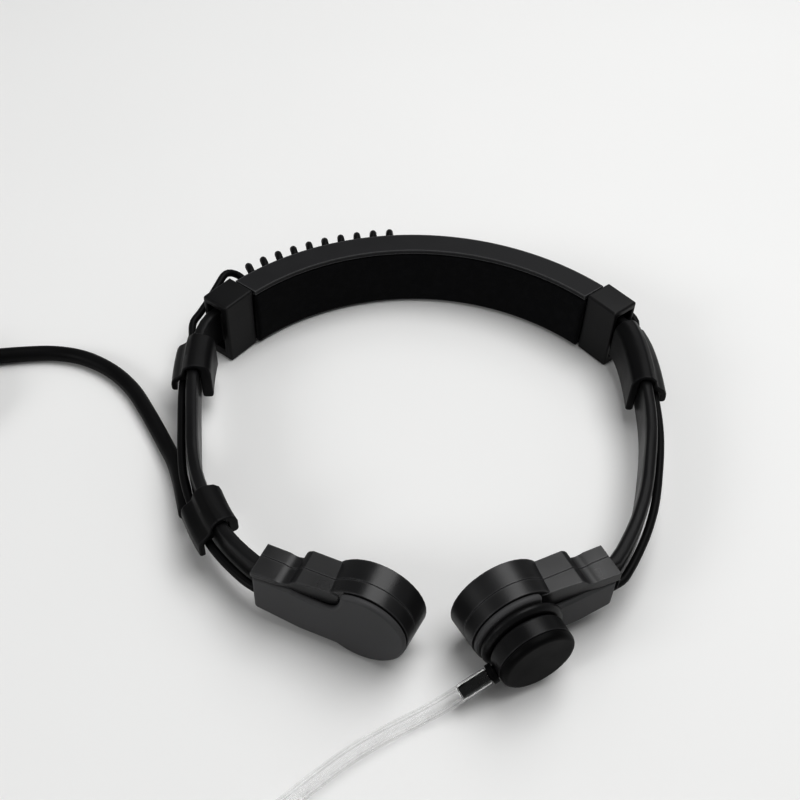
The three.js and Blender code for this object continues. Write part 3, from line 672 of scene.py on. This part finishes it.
make_mic_lead()


# ---- the frame's own nodes: edges softened as mouldings are, and their finishes ----

SHARPER_THAN = math.radians(32)  # the edges that are rounded
FLATTER_THAN = math.radians(1)  # the faces that are joined first
ROUNDING_STEPS = 3
WELD_WITHIN = 0.01


def soften(name, width, clamp=True):
    """Rounds a CAD node's edges with modifiers, which leave its own mesh as it is."""
    piece = nodes[name]
    piece.data.polygons.foreach_set("use_smooth", [True] * len(piece.data.polygons))
    weld = piece.modifiers.new("weld", "WELD")
    weld.merge_threshold = WELD_WITHIN * MM
    flat = piece.modifiers.new("flat", "DECIMATE")
    flat.decimate_type = "DISSOLVE"
    flat.angle_limit = FLATTER_THAN
    bevel = piece.modifiers.new("bevel", "BEVEL")
    bevel.width = width * MM
    bevel.segments = ROUNDING_STEPS
    bevel.limit_method = "ANGLE"
    bevel.angle_limit = SHARPER_THAN
    bevel.miter_outer = "MITER_SHARP"
    bevel.use_clamp_overlap = clamp
    weighted = piece.modifiers.new("weighted", "WEIGHTED_NORMAL")
    weighted.keep_sharp = True


SOFT_EDGES = {
    "rear_band_shell": 0.35,
    "left_arm": 0.3,
    "right_arm": 0.3,
    "left_upper_clip": 0.35,
    "left_lower_clip": 0.35,
    "right_clip": 0.35,
    "speaker_flange": 0.2,
    "speaker_can": 0.2,
    "speaker_cap": 0.2,
    "tube_nozzle": 0.12,
    "plug_body": 0.4,
    "plug_strain_relief": 0.3,
    "ear_tip_adapter": 0.2,
    "ear_tip": 0.4,
    "tube_sleeve": 0.15,
    "main_cord_tie": 0.4,
    "acoustic_tube_tie": 0.4,
    "plug_pin": 0.1,
}


def dress_nodes():
    for entry in frame["record"]["subparts"]:
        piece = nodes[entry["node"]]
        piece.data.materials.clear()
        piece.data.materials.append(SLOT_FINISH[entry["material_slot"]])
    nodes["rear_band_shell"].data.materials[0] = BAND_PLASTIC
    nodes["tube_sleeve"].data.materials[0] = CLEAR_SLEEVE
    for side in ("left", "right"):
        for part in ("inner_shell", "outer_shell"):
            nodes[f"{side}_pod_{part}"].data.materials[0] = POD_PLASTIC
        nodes[f"{side}_pod_cover"].data.materials[0] = COVER_PLASTIC
    for name, width in SOFT_EDGES.items():
        soften(name, width)
    for side in ("left", "right"):
        soften(f"{side}_end_block", 0.7, clamp=False)
        soften(f"{side}_pod_inner_shell", 0.45)
        soften(f"{side}_pod_outer_shell", 0.15)
        soften(f"{side}_pod_cover", 0.8, clamp=False)
        soften(f"{side}_contact_ring", 0.2)
        soften(f"{side}_contact_disc", 0.2)


dress_nodes()


# ---- neck pad: foam under knit cloth ----

PAD_RADIUS = 68.15
PAD_HALF_THICKNESS = 1.1
PAD_MIDDLE = 9.75
PAD_HALF_HEIGHT = 8.9
PAD_FROM, PAD_TO = 46.2, 138.9
PAD_STEPS = 90
PAD_SECTION_POINTS = 44
CHANNEL_DEPTH = 0.22
CHANNEL_PLACE = 0.86  # of the half height
CHANNEL_WIDTH = 0.05
PAD_CROWN = 0.1


def squared(value, power):
    """A sine or cosine raised to a power below 1 with its sign kept, for a squarer oval."""
    return math.copysign(abs(value) ** power, value)


def pad_section():
    """The pad's section: a flat oval, a little crowned, with a sewn channel near each edge."""
    points = []
    for k in range(PAD_SECTION_POINTS):
        turn = 2 * math.pi * k / PAD_SECTION_POINTS
        across = squared(math.cos(turn), 0.35)
        up = squared(math.sin(turn), 0.55)
        out = PAD_HALF_THICKNESS * across
        if across > 0:
            out += PAD_CROWN * (1 - up * up)
            out -= CHANNEL_DEPTH * math.exp(-(((abs(up) - CHANNEL_PLACE) / CHANNEL_WIDTH) ** 2))
        points.append((out * MM, PAD_HALF_HEIGHT * up * MM))
    return points


def make_pad():
    turns = [PAD_FROM + (PAD_TO - PAD_FROM) * k / PAD_STEPS for k in range(PAD_STEPS + 1)]
    line = metres([on_band(PAD_RADIUS, degrees, PAD_MIDDLE) for degrees in turns])
    pad = sweep("neck_pad_cloth", line, pad_section(), PAD)
    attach(pad, "band")
    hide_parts("neck_pad")


make_pad()


# ---- stage ----


FLOOR_HALF = 1.6


def make_floor():
    finish = Finish("floor", (0.80, 0.80, 0.80), 0.7)
    faint = finish.noise(9, 2)
    finish.color(finish.mix(faint, (0.79, 0.79, 0.785), (0.81, 0.81, 0.805)))
    corners = [(x * FLOOR_HALF, y * FLOOR_HALF, 0) for x, y in ((-1, -1), (1, -1), (1, 1), (-1, 1))]
    floor = new_piece("floor", [Vector(c) for c in corners], [(0, 1, 2, 3)], finish.material)


def area_light(name, place, aim, size, power):
    data = bpy.data.lights.new(name, "AREA")
    data.shape = "DISK"
    data.size = size
    data.energy = power
    light = bpy.data.objects.new(name, data)
    bpy.context.scene.collection.objects.link(light)
    light.location = place
    light.rotation_euler = (Vector(aim) - Vector(place)).to_track_quat("-Z", "Y").to_euler()


VIEW_GAMMA = 0.8  # below 1, so the blacks are deeper
WORLD_STRENGTH = 0.3


def make_light():
    world = bpy.data.worlds.new("studio")
    world.use_nodes = True
    background = world.node_tree.nodes["Background"]
    background.inputs["Color"].default_value = (1.0, 1.0, 1.0, 1)
    background.inputs["Strength"].default_value = WORLD_STRENGTH
    bpy.context.scene.world = world
    area_light("back", (0.25, 0.75, 0.85), (0, 0.05, 0), size=0.6, power=1.6)
    area_light("top", (0.25, 0.15, 1.0), (0.03, -0.02, 0), size=0.9, power=8.2)
    area_light("side", (-1.3, -0.8, 0.8), (0, 0, 0), size=0.6, power=7.0)
    bpy.context.scene.view_settings.view_transform = "Standard"
    bpy.context.scene.view_settings.gamma = VIEW_GAMMA


make_floor()
make_light()
